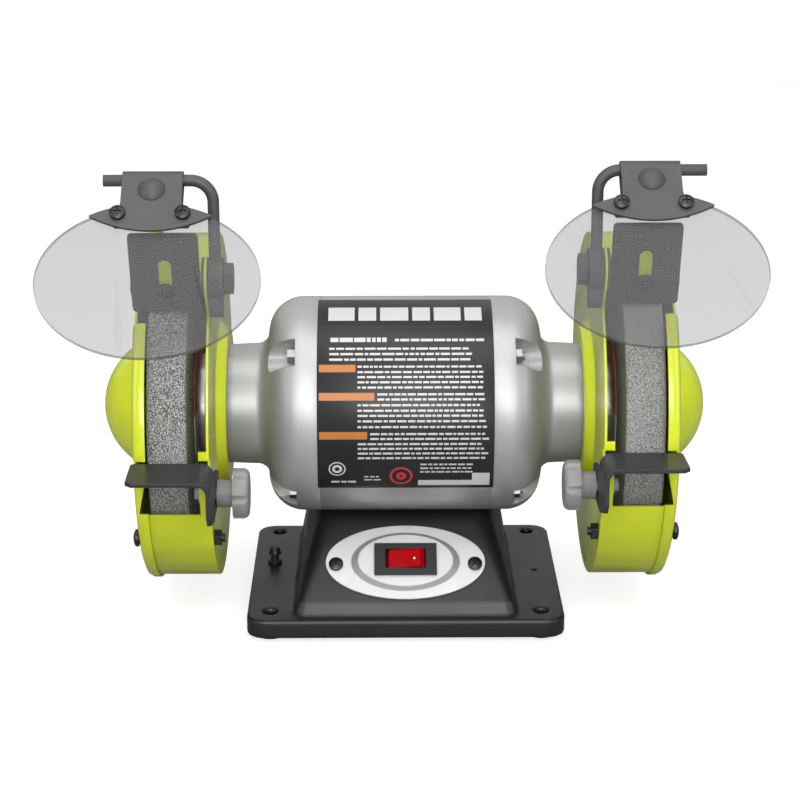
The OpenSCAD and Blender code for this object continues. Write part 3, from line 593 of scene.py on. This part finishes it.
def print_marks():
    mesh = bmesh.new()
    ring_mark(mesh, -33.0, -18.8, 3.5, 4.1)
    ring_mark(mesh, -33.0, -18.8, 1.2, 2.4)
    piece = finish_mesh(mesh, "plate_mark_white", ink("ink_mark", (0.6, 0.6, 0.6)))
    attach(piece, "frame")
    mesh = bmesh.new()
    ring_mark(mesh, -2.2, -23.6, 4.5, 5.6)
    ring_mark(mesh, -2.2, -23.6, 0.8, 2.4)
    piece = finish_mesh(mesh, "plate_mark_red", ink("ink_red", (0.5, 0.03, 0.035)))
    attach(piece, "frame")


# The rocker: its pivot above the panel, its tilt at rest, and the dot's place and slope on it.
PIVOT_LIFT = 0.0029
ROCKER_REST = math.radians(-9)
DOT_PLACE = (0.0047, -0.0005, 0.00236)
HOLLOW_SLOPE = math.atan(-0.6 / 7.6)


def rocker_dot():
    """White dot sunk in the raised end of the rocker, placed from its pivot on the panel."""
    face = Matrix.Translation(PANEL) @ Matrix.Rotation(PANEL_SLOPE, 4, "X")
    face = face @ Matrix.Translation((0, 0, PIVOT_LIFT)) @ Matrix.Rotation(ROCKER_REST, 4, "Y")
    face = face @ Matrix.Translation(DOT_PLACE) @ Matrix.Rotation(HOLLOW_SLOPE, 4, "Y")
    mesh = bmesh.new()
    loops = []
    for r, z in ((0.00055, -0.0002), (0.00055, 0.00003), (0.0004, 0.00008)):
        loops.append([mesh.verts.new(face @ Vector((r * math.cos(t), r * math.sin(t), z)))
                      for t in circle(20)])
    for first, second in zip(loops, loops[1:]):
        bridge(mesh, first, second)
    mesh.faces.new(loops[0][::-1])
    mesh.faces.new(loops[-1])
    piece = finish_mesh(mesh, "rocker_dot", ink("dot_white", (0.8, 0.78, 0.78)))
    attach(piece, "rocker")


print_white()
print_orange()
print_marks()
rocker_dot()


# ---------- camera, floor and lights ----------

def look_at(thing, target):
    thing.rotation_mode = "QUATERNION"
    thing.rotation_quaternion = (Vector(target) - thing.location).to_track_quat("-Z", "Y")


camera = bpy.data.objects.new("camera", bpy.data.cameras.new("camera"))
scene.collection.objects.link(camera)
CAMERA_PLACE = Vector((-0.0128, -1.0262, 0.4262))
CAMERA_AIM = Vector((0.00982, 0.95372, -0.30054))
camera.location = CAMERA_PLACE
camera.data.sensor_width = 36
camera.data.lens = 96.65
camera.data.clip_start = 0.05
look_at(camera, CAMERA_PLACE + CAMERA_AIM)
scene.camera = camera


def soft_box(name, where, wide, tall, watts):
    """White area lamp aimed at the middle of the object."""
    lamp = bpy.data.lights.new(name, "AREA")
    lamp.shape = "RECTANGLE"
    lamp.size = wide
    lamp.size_y = tall
    lamp.energy = watts
    holder = bpy.data.objects.new(name, lamp)
    scene.collection.objects.link(holder)
    holder.location = where
    look_at(holder, (0, 0, 0.1))


soft_box("top_box", (0, -0.15, 1.35), 1.6, 0.9, 10.0)
soft_box("left_box", (-1.25, -0.75, 0.65), 0.6, 1.1, 5.0)
soft_box("right_box", (1.25, -0.75, 0.65), 0.6, 1.1, 5.0)
soft_box("front_box", (0.0, -1.6, 0.62), 1.3, 0.6, 17.0)
soft_box("key_box", (0.0, -1.2, 1.25), 1.1, 0.5, 7.5)

# The camera sees a white screen. All else is lit by a room that brightens with height.
world = bpy.data.worlds.new("studio")
scene.world = world
world.use_nodes = True
sky = world.node_tree
sky.nodes.clear()
screen = sky.nodes.new("ShaderNodeBackground")
screen.inputs[0].default_value = (1, 1, 1, 1)
screen.inputs[1].default_value = 1.0
room = sky.nodes.new("ShaderNodeBackground")
room.inputs[0].default_value = (1, 1, 1, 1)
direction = sky.nodes.new("ShaderNodeTexCoord")
parts = sky.nodes.new("ShaderNodeSeparateXYZ")
fall = sky.nodes.new("ShaderNodeMapRange")
sky.links.new(direction.outputs["Generated"], parts.inputs[0])
sky.links.new(parts.outputs[2], fall.inputs[0])
LOW_HEIGHT, HIGH_HEIGHT, LOW_LIGHT, HIGH_LIGHT = -0.3, 0.8, 0.1, 0.42
for at, value in enumerate((LOW_HEIGHT, HIGH_HEIGHT, LOW_LIGHT, HIGH_LIGHT), 1):
    fall.inputs[at].default_value = value
sky.links.new(fall.outputs[0], room.inputs[1])
path = sky.nodes.new("ShaderNodeLightPath")
blend = sky.nodes.new("ShaderNodeMixShader")
end = sky.nodes.new("ShaderNodeOutputWorld")
sky.links.new(path.outputs["Is Camera Ray"], blend.inputs[0])
sky.links.new(room.outputs[0], blend.inputs[1])
sky.links.new(screen.outputs[0], blend.inputs[2])
sky.links.new(blend.outputs[0], end.inputs[0])


def floor():
    """Pale floor that sweeps up behind. Its glow shows to the camera as plain white."""
    mesh = bmesh.new()
    reach, back, sweep, steps = 3.0, 1.6, 0.5, 12
    rows = [(-reach, 0.0), (back, 0.0)]
    for i in range(1, steps + 1):
        a = math.pi / 2 * i / steps
        rows.append((back + sweep * math.sin(a), sweep * (1 - math.cos(a))))
    rows.append((back + sweep, reach))
    pairs = [[mesh.verts.new((x, y, z)) for x in (-reach, reach)] for y, z in rows]
    for (a, b), (c, d) in zip(pairs, pairs[1:]):
        mesh.faces.new((a, b, d, c))
    look = Look("floor", Specular_IOR_Level=0.2)
    cloud = look.noise(3.0, 3.0)
    seen = look.add("ShaderNodeLightPath", {}).outputs["Is Camera Ray"]
    rear = look.calc("MULTIPLY", look.calc("SUBTRACT", 1.0, seen),
                     look.spread(look.axis("Z"), 0.1, 0.6, 0.0, 0.55))
    pale = look.mix(cloud, (0.42, 0.42, 0.42), (0.45, 0.45, 0.45))
    glow = look.calc("ADD", look.calc("MULTIPLY", seen, 0.72), rear)
    look.set(Base_Color=look.mix(seen, (0.24, 0.24, 0.24), pale),
             Emission_Color=(1, 1, 1), Emission_Strength=glow,
             Roughness=look.spread(cloud, 0.3, 0.7, 0.6, 0.7))
    piece = finish_mesh(mesh, "floor", look.material, True)
    piece.location.z = cad_low.z


floor()
